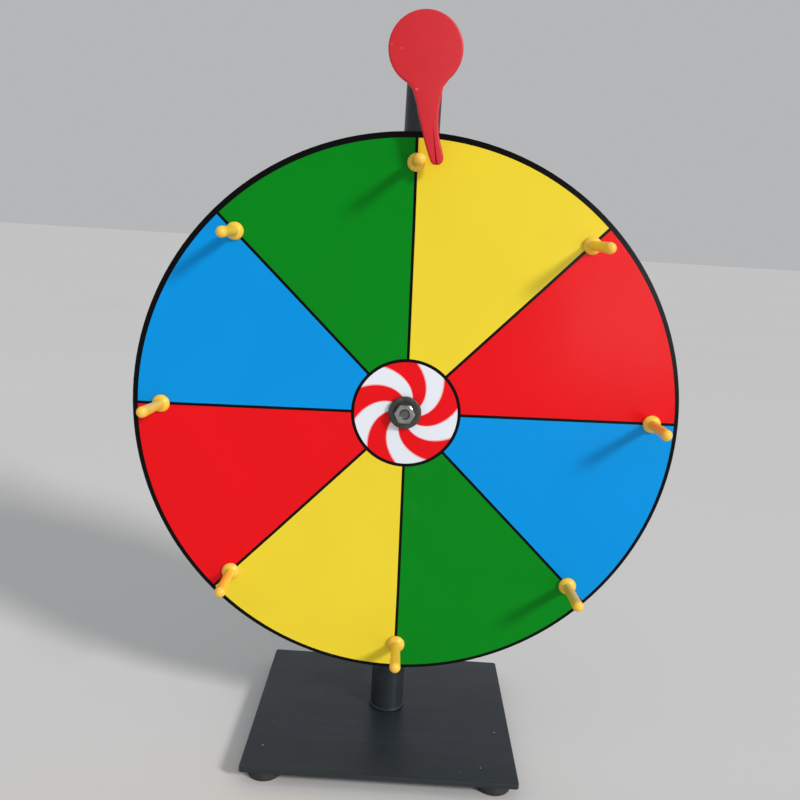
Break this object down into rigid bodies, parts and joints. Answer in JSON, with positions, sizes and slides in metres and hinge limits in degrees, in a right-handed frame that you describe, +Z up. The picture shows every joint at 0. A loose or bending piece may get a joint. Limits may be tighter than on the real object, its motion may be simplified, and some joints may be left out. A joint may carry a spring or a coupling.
{
  "type": "game spinner",
  "caption": "Tabletop prize wheel: a pegged, coloured disc on ball bearings, in front of a post on a plate with rubber feet, with a flexible pointer at the rim.",
  "frame": {"origin": "on the ground, at the middle of the object's whole extent; x = 0 is the axle and the post, y = 0 is the middle of the base plate", "axes": "+Z up, -Y towards the player who faces the wheel, +X to that player's right"},
  "size_m": [0.3, 0.13, 0.4112],
  "materials": {
    "black_steel": "black powder coat, satin",
    "steel": "bright zinc",
    "dark_steel": "dark oxide",
    "brass": "machined",
    "rubber": "moulded black rubber",
    "black_plastic": "moulded, matte",
    "board": "white foamed board",
    "print": "glossy printed film in yellow, red, blue, green, black and white",
    "yellow_plastic": "moulded, soft gloss",
    "red_plastic": "flexible moulded sheet, soft gloss"
  },
  "bodies": {
    "stand": {"base_plate": "black_steel", "foot_front_left": "rubber", "foot_front_right": "rubber", "foot_rear_left": "rubber", "foot_rear_right": "rubber", "post_tube": "black_steel", "post_cap": "black_plastic", "post_plug": "steel", "base_washer": "steel", "base_screw": "steel", "axle_bolt": "steel", "axle_nut": "steel", "axle_saddle_front": "dark_steel", "axle_saddle_rear": "dark_steel", "bearing_inner_front": "steel", "bearing_inner_rear": "steel", "hub_sleeve": "steel", "hub_washer": "dark_steel", "pointer_standoff": "black_plastic", "pointer_saddle": "black_plastic", "pointer_screw": "steel"},
    "wheel": {"wheel_print": "print", "wheel_board": "board", "hub_flange": "steel", "hub_screw_1": "steel", "hub_screw_2": "steel", "hub_screw_3": "steel", "hub_screw_4": "steel", "bearing_outer_front": "steel", "bearing_outer_rear": "steel", "peg_1": "yellow_plastic", "peg_2": "yellow_plastic", "peg_3": "yellow_plastic", "peg_4": "yellow_plastic", "peg_5": "yellow_plastic", "peg_6": "yellow_plastic", "peg_7": "yellow_plastic", "peg_8": "yellow_plastic", "peg_screw_1": "steel", "peg_screw_2": "steel", "peg_screw_3": "steel", "peg_screw_4": "steel", "peg_screw_5": "steel", "peg_screw_6": "steel", "peg_screw_7": "steel", "peg_screw_8": "steel"},
    "bearing_balls": {"ball_cage_front": "brass", "ball_cage_rear": "brass"},
    "pointer": {"pointer": "red_plastic", "pointer_insert": "brass"}
  },
  "joints": [
    {"name": "wheel_spin", "type": "hinge", "parent": "stand", "child": "wheel", "pos_m": [0, -0.028, 0.203], "axis": [0, 1, 0], "continuous": true, "deforming": ["pointer"]},
    {"name": "ball_cage_roll", "type": "hinge", "parent": "stand", "child": "bearing_balls", "pos_m": [0, -0.028, 0.203], "axis": [0, 1, 0], "continuous": true},
    {"name": "pointer_flex", "type": "hinge", "parent": "stand", "child": "pointer", "pos_m": [0, -0.028, 0.3922], "axis": [0, -1, 0], "range_deg": [-3, 18], "stiffness_Nm_per_rad": 0.3}
  ],
  "couplings": [
    {"joint": "ball_cage_roll", "follows": "wheel_spin", "ratio": 0.60938}
  ]
}
